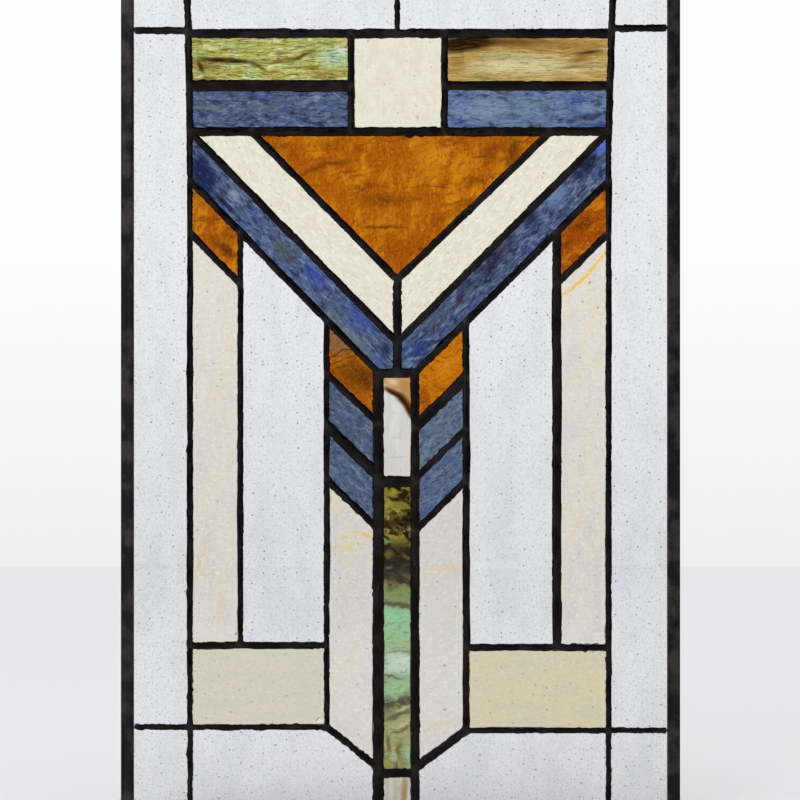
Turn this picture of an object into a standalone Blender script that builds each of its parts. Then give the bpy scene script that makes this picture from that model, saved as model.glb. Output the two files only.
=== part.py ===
"""Leaded window panel: cut glass held in an H-section lead matrix, with a mitred U-section border.

Metres, +Z up. The panel stands in the XZ plane and its front faces -Y. The origin is the middle of the
bottom edge, at half the panel's depth. Each lead came is a straight line, and each piece of glass is the
area that its cames enclose, so a came that moves takes its neighbouring glass with it.
"""

from collections import namedtuple

import bmesh
import bpy
from mathutils import Vector

MM = 0.001

# Overall size, measured over the border
PANEL_WIDTH = 419.0 * MM
PANEL_HEIGHT = 654.0 * MM

# Glass, and how it sits in the lead
GLASS_THICKNESS = 3.0 * MM
FACE_GAP = 0.35 * MM
EDGE_GAP = 0.4 * MM
JOINT_GAP = 0.3 * MM

# Came section: the heart between the glass edges, and the domed leaf over each face. The leaf's shoulder
# stands at a share of the way from its crown to its lip
HEART_WIDTH = 1.6 * MM
LEAF_CROWN = 1.3 * MM
LEAF_SHOULDER = 1.1 * MM
LEAF_LIP = 0.6 * MM
SHOULDER_SHARE = 0.6

# Stock widths of the came's face
THIN_CAME = 4.0 * MM
PLAIN_CAME = 5.0 * MM
BROAD_CAME = 6.5 * MM
WIDE_CAME = 8.2 * MM

# Border came, a U section open towards the glass
BORDER_FACE = 9.5 * MM
BORDER_WEB = 2.0 * MM
BORDER_LEAF = 1.5 * MM
BORDER_ARRIS = 0.4 * MM

# Widths across the panel. The panel is set by hand, so left and right differ by a millimetre or two
LEFT_SIDE_LIGHT = 51.7 * MM
RIGHT_SIDE_LIGHT = 53.5 * MM
LEFT_OPAL_STRIP = 37.7 * MM
RIGHT_OPAL_STRIP = 38.8 * MM
MOTIF_MIDDLE = -2.4 * MM
LEFT_INNER_BAR = 53.0 * MM
RIGHT_INNER_BAR = 51.6 * MM
LEFT_SHAFT = 14.3 * MM
RIGHT_SHAFT = 13.3 * MM
LEFT_HEADER_POST = 34.7 * MM
RIGHT_HEADER_POST = 35.4 * MM
LEFT_GABLE_FOOT = 46.1 * MM
RIGHT_GABLE_FOOT = 43.5 * MM

# How far each stile has spread outwards at the top edge. It bends at the foot of the header
LEFT_STILE_SPREAD = 2.6 * MM
RIGHT_STILE_SPREAD = 4.6 * MM

# Heights down from the top edge to the middle of each came
TOP_LIGHT = 67.0 * MM
LEFT_RAIL_STEP = 2.2 * MM
RIGHT_RAIL_STEP = 4.0 * MM
STRIPE_DROP = 39.2 * MM
HEADER_DROP = 73.6 * MM
EAVE_DROP = 37.0 * MM
WING_DROP = 39.0 * MM
GABLE_APEX_DROP = 111.0 * MM
RAFTER_APEX_DROP = 158.0 * MM
KEEL_FOOT_DROP = 181.0 * MM

# The three barbs on each side of the shaft, from the foot of the keel down
BARB_SLANT = 37.6 * MM
LEFT_FIRST_BARB = 0.4 * MM
LEFT_SECOND_BARB = 39.6 * MM
LEFT_THIRD_BARB = 79.6 * MM
RIGHT_FIRST_BARB = 3.2 * MM
RIGHT_SECOND_BARB = 42.0 * MM
RIGHT_THIRD_BARB = 80.8 * MM
COLLAR_DROP = 81.5 * MM

# Heights up from the bottom edge
LEFT_SILL = 66.9 * MM
RIGHT_SILL = 64.4 * MM
LEFT_BLOCK = 61.3 * MM
RIGHT_BLOCK = 62.3 * MM
SHAFT_FOOT = 32.4 * MM
BRACE_FOOT = 36.4 * MM

# Points nearer than this are one
SAME_POINT = 0.001 * MM

CHANNEL_DEPTH = GLASS_THICKNESS + 2 * FACE_GAP
CAME_DEPTH = CHANNEL_DEPTH + 2 * LEAF_CROWN
BORDER_DEPTH = CHANNEL_DEPTH + 2 * BORDER_LEAF

# start and end are (x, z) points on the came's line. heart and leaf are the distances from that line to
# the sides of its heart and of its leaves
Came = namedtuple("Came", "start end heart leaf")

# Colour as linear RGB, roughness and metallic value of each finish
FINISHES = {
    "lead_came": ((0.020, 0.020, 0.022), 0.50, 0.9),
    "border_came": ((0.026, 0.026, 0.029), 0.55, 0.9),
    "clear_seedy_glass": ((0.80, 0.81, 0.84), 0.05, 0.0),
    "cream_hammered_glass": ((0.82, 0.78, 0.66), 0.25, 0.0),
    "amber_glass": ((0.60, 0.20, 0.015), 0.20, 0.0),
    "blue_streaky_glass": ((0.10, 0.15, 0.33), 0.20, 0.0),
    "green_streaky_glass": ((0.40, 0.40, 0.12), 0.20, 0.0),
    "white_opal_glass": ((0.74, 0.73, 0.66), 0.20, 0.0),
    "straw_opal_glass": ((0.74, 0.68, 0.46), 0.20, 0.0),
    "brown_agate_glass": ((0.72, 0.66, 0.58), 0.20, 0.0),
}


def clear_scene():
    for leftover in list(bpy.data.objects):
        bpy.data.objects.remove(leftover, do_unlink=True)


def make_finishes():
    """One material for each finish."""
    made = {}
    for name, (colour, roughness, metallic) in FINISHES.items():
        material = bpy.data.materials.new(name)
        material.use_nodes = True
        shader = material.node_tree.nodes["Principled BSDF"]
        shader.inputs["Base Color"].default_value = (*colour, 1.0)
        shader.inputs["Roughness"].default_value = roughness
        shader.inputs["Metallic"].default_value = metallic
        made[name] = material
    return made


def slanted(start, end, face):
    return Came(Vector(start), Vector(end), HEART_WIDTH / 2, face / 2)


def upright(x, face):
    return slanted((x, 0.0), (x, PANEL_HEIGHT), face)


def level(z, face):
    return slanted((-PANEL_WIDTH / 2, z), (PANEL_WIDTH / 2, z), face)


def edge(start, end):
    """The line of the panel's outer edge, where the border's web and leaves lie inside it."""
    return Came(Vector(start), Vector(end), BORDER_WEB, BORDER_FACE)


def border_lines():
    right = PANEL_WIDTH / 2
    return {
        "border_left": edge((-right, 0), (-right, PANEL_HEIGHT)),
        "border_right": edge((right, 0), (right, PANEL_HEIGHT)),
        "border_top": edge((-right, PANEL_HEIGHT), (right, PANEL_HEIGHT)),
        "border_bottom": edge((-right, 0), (right, 0)),
    }


def upright_cames():
    left_stile = LEFT_SIDE_LIGHT - PANEL_WIDTH / 2
    right_stile = PANEL_WIDTH / 2 - RIGHT_SIDE_LIGHT
    middle = MOTIF_MIDDLE
    return {
        "left_stile": upright(left_stile, THIN_CAME),
        "right_stile": upright(right_stile, THIN_CAME),
        "top_mullion": upright(middle, THIN_CAME),
        "left_header_post": upright(middle - LEFT_HEADER_POST, PLAIN_CAME),
        "right_header_post": upright(middle + RIGHT_HEADER_POST, PLAIN_CAME),
        "left_outer_bar": upright(left_stile + LEFT_OPAL_STRIP, THIN_CAME),
        "right_outer_bar": upright(right_stile - RIGHT_OPAL_STRIP, BROAD_CAME),
        "left_inner_bar": upright(middle - LEFT_INNER_BAR, THIN_CAME),
        "right_inner_bar": upright(middle + RIGHT_INNER_BAR, PLAIN_CAME),
        "left_shaft": upright(middle - LEFT_SHAFT, WIDE_CAME),
        "right_shaft": upright(middle + RIGHT_SHAFT, BROAD_CAME),
        "keel": upright(middle, BROAD_CAME),
    }


def level_cames():
    rail = PANEL_HEIGHT - TOP_LIGHT
    header_sill = rail - HEADER_DROP
    keel_foot = header_sill - KEEL_FOOT_DROP
    return {
        "left_rail_end": level(rail + LEFT_RAIL_STEP, PLAIN_CAME),
        "top_rail": level(rail, BROAD_CAME),
        "right_rail_end": level(rail + RIGHT_RAIL_STEP, PLAIN_CAME),
        "left_stripe": level(rail - STRIPE_DROP, WIDE_CAME),
        "right_stripe": level(rail - STRIPE_DROP, BROAD_CAME),
        "header_sill": level(header_sill, BROAD_CAME),
        "keel_foot": level(keel_foot, BROAD_CAME),
        "collar": level(keel_foot - COLLAR_DROP, WIDE_CAME),
        "shaft_foot": level(SHAFT_FOOT, BROAD_CAME),
        "left_sill": level(LEFT_SILL, THIN_CAME),
        "right_sill": level(RIGHT_SILL, THIN_CAME),
        "left_block_top": level(LEFT_SILL + LEFT_BLOCK, PLAIN_CAME),
        "right_block_top": level(RIGHT_SILL + RIGHT_BLOCK, PLAIN_CAME),
    }


def cross(line_a, line_b):
    """Where two lines meet, each given as (point, direction)."""
    (point_a, along_a), (point_b, along_b) = line_a, line_b
    turn = along_a.x * along_b.y - along_a.y * along_b.x
    gap = point_b - point_a
    return point_a + along_a * ((gap.x * along_b.y - gap.y * along_b.x) / turn)


def centre_line(came):
    return came.start, came.end - came.start


def meet(came_a, came_b):
    return cross(centre_line(came_a), centre_line(came_b))


def on_came(came, z):
    """The point of an upright came at height z."""
    return cross(centre_line(came), (Vector((0.0, z)), Vector((1.0, 0.0))))


def stile_heads(cames):
    """The upper lengths of both stiles, spread outwards from the foot of the header to the top edge."""
    found = {}
    for side, spread in (("left", -LEFT_STILE_SPREAD), ("right", RIGHT_STILE_SPREAD)):
        foot = meet(cames[f"{side}_stile"], cames["header_sill"])
        head = Vector((foot.x + spread, PANEL_HEIGHT))
        found[f"{side}_stile_head"] = slanted(foot, head, PLAIN_CAME)
    return found


def roof_cames(cames):
    """The slanted cames of the large V, from the top down: gables, rafters, eaves and wings."""
    header_sill = cames["header_sill"].start.y
    keel = cames["keel"]
    apex = on_came(keel, header_sill - GABLE_APEX_DROP)
    ridge = on_came(keel, header_sill - RAFTER_APEX_DROP)
    gable_feet = {"left": LEFT_GABLE_FOOT, "right": -RIGHT_GABLE_FOOT}
    found = {}
    for side, inset in gable_feet.items():
        stile = cames[f"{side}_stile"]
        corner = meet(stile, cames["header_sill"])
        foot = corner + Vector((inset, 0.0))
        eave_top = on_came(stile, header_sill - EAVE_DROP)
        eave_end = meet(cames[f"{side}_shaft"], cames["keel_foot"])
        slope = eave_end - eave_top
        wing_top = on_came(stile, eave_top.y - WING_DROP)
        found[f"{side}_gable"] = slanted(foot, apex, PLAIN_CAME)
        found[f"{side}_rafter"] = slanted(corner, ridge, PLAIN_CAME)
        found[f"{side}_eave"] = slanted(eave_top, eave_end, PLAIN_CAME)
        found[f"{side}_wing"] = slanted(wing_top, wing_top + slope, PLAIN_CAME)
    return found


def barb_cames(cames):
    """The slanted cames of the barbs on both sides of the shaft, and the braces at its foot."""
    keel_foot = cames["keel_foot"].start.y
    barbs = {
        "left_first_barb": (LEFT_FIRST_BARB, PLAIN_CAME),
        "left_second_barb": (LEFT_SECOND_BARB, WIDE_CAME),
        "left_third_barb": (LEFT_THIRD_BARB, PLAIN_CAME),
        "right_first_barb": (RIGHT_FIRST_BARB, WIDE_CAME),
        "right_second_barb": (RIGHT_SECOND_BARB, PLAIN_CAME),
        "right_third_barb": (RIGHT_THIRD_BARB, PLAIN_CAME),
    }
    found = {}
    for name, (drop, face) in barbs.items():
        side = name.split("_")[0]
        outer = on_came(cames[f"{side}_inner_bar"], keel_foot - drop)
        inner = on_came(cames[f"{side}_shaft"], outer.y - BARB_SLANT)
        found[name] = slanted(outer, inner, face)
    for side, face in (("left", PLAIN_CAME), ("right", BROAD_CAME)):
        corner = meet(cames[f"{side}_inner_bar"], cames[f"{side}_sill"])
        foot = on_came(cames[f"{side}_shaft"], BRACE_FOOT)
        found[f"{side}_brace"] = slanted(corner, foot, face)
    return found


def all_cames():
    cames = {**border_lines(), **upright_cames(), **level_cames()}
    cames.update(stile_heads(cames))
    cames.update(roof_cames(cames))
    cames.update(barb_cames(cames))
    return cames


def side_panes(side):
    """The panes that the left and right halves both have: name, finish, and the cames around each in turn."""
    return {
        f"{side}_top_corner": ("clear_seedy_glass", "border border_top stile_head rail_end"),
        f"{side}_side_light": ("clear_seedy_glass", "border rail_end stile_head stile sill"),
        f"{side}_bottom_corner": ("clear_seedy_glass", "border sill stile border_bottom"),
        f"{side}_top_light": ("clear_seedy_glass", "stile_head border_top top_mullion top_rail"),
        f"{side}_bottom_light": ("clear_seedy_glass", "stile sill brace shaft border_bottom"),
        f"{side}_green_header": ("green_streaky_glass", "stile_head top_rail header_post stripe"),
        f"{side}_blue_header": ("blue_streaky_glass", "stile_head stripe header_post header_sill"),
        f"{side}_cream_chevron": ("cream_hammered_glass", "header_sill gable keel rafter"),
        f"{side}_blue_chevron": ("blue_streaky_glass", "stile rafter keel keel_foot eave"),
        f"{side}_amber_wing": ("amber_glass", "stile eave outer_bar wing"),
        f"{side}_opal_strip": ("white_opal_glass", "stile wing outer_bar block_top"),
        f"{side}_long_light": ("clear_seedy_glass", "outer_bar eave inner_bar block_top"),
        f"{side}_amber_barb": ("amber_glass", "inner_bar eave shaft first_barb"),
        f"{side}_upper_blue_barb": ("blue_streaky_glass", "inner_bar first_barb shaft second_barb"),
        f"{side}_lower_blue_barb": ("blue_streaky_glass", "inner_bar second_barb shaft third_barb"),
        f"{side}_opal_drop": ("white_opal_glass", "inner_bar third_barb shaft brace"),
        f"{side}_straw_block": ("straw_opal_glass", "stile block_top inner_bar sill"),
    }


def middle_panes():
    return {
        "cream_header": ("cream_hammered_glass", "left_header_post top_rail right_header_post header_sill"),
        "amber_gable": ("amber_glass", "header_sill right_gable left_gable"),
        "agate_collar": ("brown_agate_glass", "left_shaft keel_foot right_shaft collar"),
        "green_shaft": ("green_streaky_glass", "left_shaft collar right_shaft shaft_foot"),
        "tail_light": ("brown_agate_glass", "left_shaft shaft_foot right_shaft border_bottom"),
    }


def all_panes(cames):
    """{pane: (finish, its cames in turn)}. A came's name takes the side in front where it comes in a pair."""
    found = {}
    for side in ("left", "right"):
        for name, (finish, around) in side_panes(side).items():
            paired = {"border": f"border_{side}"}
            paired.update({key: f"{side}_{key}" for key in around.split() if f"{side}_{key}" in cames})
            found[name] = (finish, [cames[paired.get(key, key)] for key in around.split()])
    for name, (finish, around) in middle_panes().items():
        found[name] = (finish, [cames[key] for key in around.split()])
    return found


def outline(around, reach):
    """The corners of the area inside a ring of cames, each came's side moved in by reach(came)."""
    corners = [meet(came, around[i - 1]) for i, came in enumerate(around)]
    inside = sum(corners, Vector((0.0, 0.0))) / len(corners)
    sides = []
    for came in around:
        start, along = centre_line(came)
        across = Vector((-along.y, along.x)).normalized()
        if across.dot(inside - start) < 0:
            across.negate()
        sides.append((start + across * reach(came), along))
    return [cross(line, sides[i - 1]) for i, line in enumerate(sides)]


def loft(name, rings):
    """A closed mesh through rings of 3-D points, all with as many points, capped at both ends."""
    mesh = bpy.data.meshes.new(name)
    shape = bmesh.new()
    layers = [[shape.verts.new(point) for point in ring] for ring in rings]
    for lower, upper in zip(layers, layers[1:]):
        for i in range(len(lower)):
            shape.faces.new((lower[i - 1], lower[i], upper[i], upper[i - 1]))
    shape.faces.new(layers[0])
    shape.faces.new(layers[-1])
    bmesh.ops.recalc_face_normals(shape, faces=shape.faces)
    shape.to_mesh(mesh)
    shape.free()
    made = bpy.data.objects.new(name, mesh)
    bpy.context.scene.collection.objects.link(made)
    return made


def at_depth(corners, y):
    return [(corner.x, y, corner.y) for corner in corners]


def make_pane(name, around, finish):
    corners = outline(around, lambda came: came.heart + EDGE_GAP)
    half = GLASS_THICKNESS / 2
    pane = loft(name, [at_depth(corners, -half), at_depth(corners, half)])
    pane.data.materials.append(finish)


def opening_section():
    """An opening's wall in the lead from front to back: (depth, distance in from each came's line)."""
    channel = CHANNEL_DEPTH / 2
    front = [
        (-channel - LEAF_CROWN, lambda came: 0.0),
        (-channel - LEAF_SHOULDER, lambda came: came.leaf * SHOULDER_SHARE),
        (-channel - LEAF_LIP, lambda came: came.leaf),
        (-channel, lambda came: came.leaf),
        (-channel, lambda came: came.heart),
    ]
    return front + [(-y, reach) for y, reach in reversed(front)]


def all_joints(panes):
    """Every point where came lines meet, once each."""
    found = []
    for _, around in panes.values():
        for corner in outline(around, lambda came: 0.0):
            if all((corner - joint).length > SAME_POINT for joint in found):
                found.append(corner)
    return found


def joints_along(start, end, joints):
    """The numbers of the joints on the line from start to end, both ends included, in turn."""
    along = (end - start).normalized()
    found = []
    for number, joint in enumerate(joints):
        reach = along.dot(joint - start)
        off_line = (joint - start - along * reach).length
        if off_line < SAME_POINT and -SAME_POINT < reach < (end - start).length + SAME_POINT:
            found.append((reach, number))
    return [number for _, number in sorted(found)]


def crown_faces(shape, crown, first, last):
    """Joins a line of crown points to the shoulder's ends, first and last, each point to the nearer end."""
    middle = (first.co + last.co) / 2
    along = last.co - first.co
    turn = max(i for i, point in enumerate(crown[:-1]) if i == 0 or along.dot(point.co - middle) < 0)
    for i in range(turn):
        shape.faces.new((crown[i], crown[i + 1], first))
    shape.faces.new((crown[turn], crown[turn + 1], last, first))
    for i in range(turn + 1, len(crown) - 1):
        shape.faces.new((crown[i], crown[i + 1], last))


def add_opening(shape, around, joints, crowns):
    """The wall of one opening, from the crown line round it in front to the one behind."""
    section = opening_section()
    corners = outline(around, section[0][1])
    walls = [at_depth(outline(around, reach), y) for y, reach in section[1:-1]]
    rings = [[shape.verts.new(point) for point in wall] for wall in walls]
    for i, corner in enumerate(corners):
        line = joints_along(corners[i - 1], corner, joints)
        for crown, ring in ((crowns[0], rings[0]), (crowns[1], rings[-1])):
            crown_faces(shape, [crown[number] for number in line], ring[i - 1], ring[i])
        for front, back in zip(rings, rings[1:]):
            shape.faces.new((front[i - 1], front[i], back[i], back[i - 1]))


def make_trimmer():
    """A box over all of the lead that lies inside the border."""
    half_width = PANEL_WIDTH / 2 - BORDER_FACE - JOINT_GAP
    foot = BORDER_FACE + JOINT_GAP
    head = PANEL_HEIGHT - foot
    corners = [Vector((x, z)) for x, z in (
        (-half_width, foot), (half_width, foot), (half_width, head), (-half_width, head)
    )]
    trimmer = loft("lead_trimmer", [at_depth(corners, -CAME_DEPTH), at_depth(corners, CAME_DEPTH)])
    trimmer.hide_render = True
    trimmer.display_type = "WIRE"
    return trimmer


def make_lead_matrix(panes, finish):
    """All the inner cames as one, with an opening for each pane, and trimmed inside the border."""
    joints = all_joints(panes)
    shape = bmesh.new()
    front = [shape.verts.new(point) for point in at_depth(joints, -CAME_DEPTH / 2)]
    back = [shape.verts.new(point) for point in at_depth(joints, CAME_DEPTH / 2)]
    for _, around in panes.values():
        add_opening(shape, around, joints, (front, back))
    behind = dict(zip(front, back))
    rim = [edge.verts for edge in shape.edges if edge.is_boundary and edge.verts[0] in behind]
    for a, b in rim:
        shape.faces.new((a, b, behind[b], behind[a]))
    bmesh.ops.recalc_face_normals(shape, faces=shape.faces)
    mesh = bpy.data.meshes.new("lead_matrix")
    shape.to_mesh(mesh)
    shape.free()
    matrix = bpy.data.objects.new("lead_matrix", mesh)
    bpy.context.scene.collection.objects.link(matrix)
    matrix.data.materials.append(finish)
    trim = matrix.modifiers.new("trim", "BOOLEAN")
    trim.operation = "INTERSECT"
    trim.object = make_trimmer()
    trim.solver = "EXACT"


def border_section():
    """The U section: (distance in from the outer edge, depth)."""
    outside, inside = BORDER_DEPTH / 2, CHANNEL_DEPTH / 2
    front = [
        (0.0, -outside + BORDER_ARRIS),
        (BORDER_ARRIS, -outside),
        (BORDER_FACE - BORDER_ARRIS, -outside),
        (BORDER_FACE, -outside + BORDER_ARRIS),
        (BORDER_FACE, -inside),
        (BORDER_WEB, -inside),
    ]
    return front + [(inward, -depth) for inward, depth in reversed(front)]


def make_border_bar(name, start, end, inward, finish):
    """One length of border between two corners of the panel, mitred at both ends."""
    along = (end - start).normalized()
    rings = []
    for corner, towards_middle in ((start, along), (end, -along)):
        ring = []
        for distance, depth in border_section():
            point = corner + inward * distance + towards_middle * (distance + JOINT_GAP / 2)
            ring.append((point.x, depth, point.y))
        rings.append(ring)
    bar = loft(name, rings)
    bar.data.materials.append(finish)


def make_border(finish):
    half = PANEL_WIDTH / 2
    bottom_left, bottom_right = Vector((-half, 0.0)), Vector((half, 0.0))
    top_left, top_right = Vector((-half, PANEL_HEIGHT)), Vector((half, PANEL_HEIGHT))
    up, right = Vector((0.0, 1.0)), Vector((1.0, 0.0))
    make_border_bar("bottom_border", bottom_left, bottom_right, up, finish)
    make_border_bar("top_border", top_left, top_right, -up, finish)
    make_border_bar("left_border", bottom_left, top_left, right, finish)
    make_border_bar("right_border", bottom_right, top_right, -right, finish)


def main():
    clear_scene()
    finishes = make_finishes()
    panes = all_panes(all_cames())
    for name, (finish, around) in panes.items():
        make_pane(name, around, finishes[finish])
    make_lead_matrix(panes, finishes["lead_came"])
    make_border(finishes["border_came"])


main()
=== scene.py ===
"""Looks of the leaded window panel: worked lead cames round cut glass, in front of an even pale background.

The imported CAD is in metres, stands in the XZ plane and faces -Y. Sizes below are in millimetres unless they
say otherwise, and a pattern's place on the panel is given as (x, z) in millimetres from the origin.
"""

import math

import bpy
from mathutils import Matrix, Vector, kdtree, noise


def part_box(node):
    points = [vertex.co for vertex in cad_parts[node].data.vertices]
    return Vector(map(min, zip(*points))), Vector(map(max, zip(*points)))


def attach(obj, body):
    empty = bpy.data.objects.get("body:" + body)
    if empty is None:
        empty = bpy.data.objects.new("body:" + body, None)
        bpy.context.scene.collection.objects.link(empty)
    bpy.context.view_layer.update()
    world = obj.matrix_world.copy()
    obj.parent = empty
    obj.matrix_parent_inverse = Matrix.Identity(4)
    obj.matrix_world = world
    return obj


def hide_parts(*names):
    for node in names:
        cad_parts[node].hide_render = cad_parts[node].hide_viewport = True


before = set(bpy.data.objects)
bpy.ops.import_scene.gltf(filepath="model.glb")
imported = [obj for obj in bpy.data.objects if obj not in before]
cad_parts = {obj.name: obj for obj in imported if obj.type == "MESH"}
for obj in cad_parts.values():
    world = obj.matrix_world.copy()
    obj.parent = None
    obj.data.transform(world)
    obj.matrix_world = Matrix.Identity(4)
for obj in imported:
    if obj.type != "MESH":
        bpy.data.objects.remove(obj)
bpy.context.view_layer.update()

MM = 0.001

# The photograph's frame: 600 mm square at the panel, seen straight on
VIEW_WIDTH = 600.0
VIEW_CENTRE = (-0.4, 312.15)
CAMERA_DISTANCE = 3000.0
SENSOR_WIDTH = 36.0

# Depths from the panel's middle: where the came's leaf starts, its crown, and the top of a solder puddle
LEAF_FOOT = 1.85
CROWN_DEPTH = 3.15
HIGHEST_SOLDER = 3.30

# The radius of a solder puddle, and the reach round a joint within which the mesh is finer
PUDDLE_RADIUS = 4.6
JOINT_REACH = 7.0

# Longest edges of the meshes, and the triangles that the cames may have
CAME_PITCH = 2.4
JOINT_PITCH = 1.5
BORDER_PITCH = 4.0
CAME_TRIANGLES = 180000

GLASS_HALF = 1.5
GLASS_IOR = 1.52

SOLDER_TINT = "34302F"
# A bubble is drawn as a painted dark rim of shade round a painted highlight
BUBBLE_SHADE_RIM = "5A564C"
BUBBLE_HIGHLIGHT = "E8E6DC"

# The share of the room's light that reflections see, as a panel lit from behind faces a nearly dark side
REFLECTED_SHARE = 0.04


def to_linear(sheet_colour):
    """An sRGB hex colour as linear RGBA."""
    values = [int(sheet_colour[i:i + 2], 16) / 255 for i in (0, 2, 4)]
    linear = [v / 12.92 if v <= 0.04045 else ((v + 0.055) / 1.055) ** 2.4 for v in values]
    return (*linear, 1.0)


def add(tree, kind, inputs=None, **settings):
    """Adds a node. inputs takes each input's name or number to a value or to the output that feeds it."""
    made = tree.nodes.new(f"ShaderNode{kind}")
    for setting, value in settings.items():
        setattr(made, setting, value)
    for place, value in (inputs or {}).items():
        if isinstance(value, bpy.types.NodeSocket):
            tree.links.new(value, made.inputs[place])
        else:
            made.inputs[place].default_value = value
    return made


def new_material(name):
    material = bpy.data.materials.new(name)
    material.use_nodes = True
    tree = material.node_tree
    tree.nodes.clear()
    return material, tree


def tinted(tree, cover, colour, tint):
    """colour, with the tint over it as far as cover says."""
    return add(tree, "Mix", {0: cover, 6: colour, 7: to_linear(tint)}, data_type="RGBA").outputs[2]


def place_on_panel(tree):
    """(x, z) on the panel in millimetres, the same through the glass's whole thickness."""
    point = add(tree, "SeparateXYZ", {0: add(tree, "TexCoord").outputs["Object"]})
    flat = add(tree, "CombineXYZ", {"X": point.outputs["X"], "Y": point.outputs["Z"]}).outputs[0]
    return add(tree, "VectorMath", {0: flat, "Scale": 1000.0}, operation="SCALE").outputs[0]


def swirled(tree, place, size, reach):
    """The place moved by up to about reach, by noise whose swirls are size across."""
    swirl = add(
        tree, "TexNoise", {"Vector": place, "Scale": 1 / size, "Detail": 2.0}, noise_dimensions="2D"
    ).outputs["Color"]
    centred = add(tree, "VectorMath", {0: swirl, 1: (0.5, 0.5, 0.5)}, operation="SUBTRACT").outputs[0]
    return add(
        tree, "VectorMath", {0: centred, 1: (4 * reach, 4 * reach, 0.0), 2: place}, operation="MULTIPLY_ADD"
    ).outputs[0]


def laid(tree, place, x, z, turn, along, across):
    """The place in the frame of a mark at (x, z), turned up from level by turn degrees, along by across."""
    return add(
        tree, "Mapping", {
            "Vector": place, "Location": (x, z, 0.0), "Rotation": (0.0, 0.0, math.radians(turn)),
            "Scale": (along, across, 1.0),
        }, vector_type="TEXTURE",
    ).outputs[0]


def veiled(tree, colour, place, number, veil):
    """colour with a veil over it: noise drawn out to along by across, in the tint where it is over low."""
    tint, along, across, turn, low, high, strength = veil
    drawn = add(
        tree, "TexNoise", {
            "Vector": laid(tree, place, 53.1 * number, 29.7 * number, turn, along, across),
            "Scale": 1.0, "Detail": 4.0, "Roughness": 0.62,
        }, noise_dimensions="2D",
    ).outputs["Fac"]
    cover = add(
        tree, "MapRange", {"Value": drawn, "From Min": low, "From Max": high, "To Max": strength},
        interpolation_type="SMOOTHSTEP",
    ).outputs[0]
    return tinted(tree, cover, colour, tint)


def streaked(tree, colour, place, streak):
    """colour with one streak over it, which fades over the softness, a share of its half width."""
    tint, x, z, half_length, half_width, turn, strength, softness = streak
    inside = add(
        tree, "TexGradient", {"Vector": laid(tree, place, x, z, turn, half_length, half_width)},
        gradient_type="SPHERICAL",
    ).outputs["Fac"]
    cover = add(
        tree, "MapRange", {"Value": inside, "From Max": softness, "To Max": strength},
        interpolation_type="SMOOTHSTEP",
    ).outputs[0]
    return tinted(tree, cover, colour, tint)


def seeded(tree, colour, place, seed):
    """colour with specks over it, one to a cell of the spacing, of all sizes up to the radius."""
    tint, spacing, radius, strength = seed
    cells = add(tree, "TexVoronoi", {"Vector": place, "Scale": 1 / spacing}, voronoi_dimensions="2D")
    size = add(tree, "SeparateColor", {0: cells.outputs["Color"]}).outputs[0]
    reach = add(
        tree, "MapRange", {"Value": size, "From Min": 0.3, "To Min": 0.01, "To Max": radius / spacing}
    ).outputs[0]
    cover = add(
        tree, "MapRange", {
            "Value": cells.outputs["Distance"], "From Min": reach, "From Max": 0.0, "To Max": strength
        },
    ).outputs[0]
    return tinted(tree, cover, colour, tint)


def glass_material(name, look):
    """See-through sheet glass, tinted by its veils, streaks, fine grain, seeds and bubbles in turn. In the
    hammered cream glass the fine rows are painted highlights and shade, in the clear glass the veils and fine
    rows are a painted waver of light and shade and the seeds painted shade, and a bubble is a painted dark
    rim round a painted highlight.
    """
    material, tree = new_material(name)
    flat = place_on_panel(tree)
    place = flat
    for size, reach in look["swirls"]:
        place = swirled(tree, place, size, reach)
    colour = to_linear(look["ground"])
    shift = look.get("shift", 0)
    for number, veil in enumerate(look["veils"]):
        colour = veiled(tree, colour, place, number + shift, veil)
    for streak in look.get("streaks", ()):
        colour = streaked(tree, colour, place, streak)
    for number, veil in enumerate(look.get("fine", ())):
        colour = veiled(tree, colour, place, number + 17 + shift, veil)
    for seed in look.get("seeds", ()):
        colour = seeded(tree, colour, flat, seed)
    # Each bubble: a painted shade rim, then a painted highlight in its middle
    for x, z, radius in look.get("bubbles", ()):
        highlight_radius = 0.62 * radius
        colour = streaked(tree, colour, flat, (BUBBLE_SHADE_RIM, x, z, radius, radius, 0.0, 0.8, 0.35))
        colour = streaked(tree, colour, flat, (BUBBLE_HIGHLIGHT, x, z, highlight_radius, highlight_radius, 0.0, 0.8, 0.5))
    shader = add(
        tree, "BsdfPrincipled", {
            "Base Color": colour,
            "Roughness": look["roughness"],
            "IOR": GLASS_IOR,
            "Transmission Weight": 1.0,
            "Coat Weight": look["coat"],
            "Coat Roughness": 0.06,
        }
    )
    add(tree, "OutputMaterial", {"Surface": shader.outputs[0]})
    return material
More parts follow.
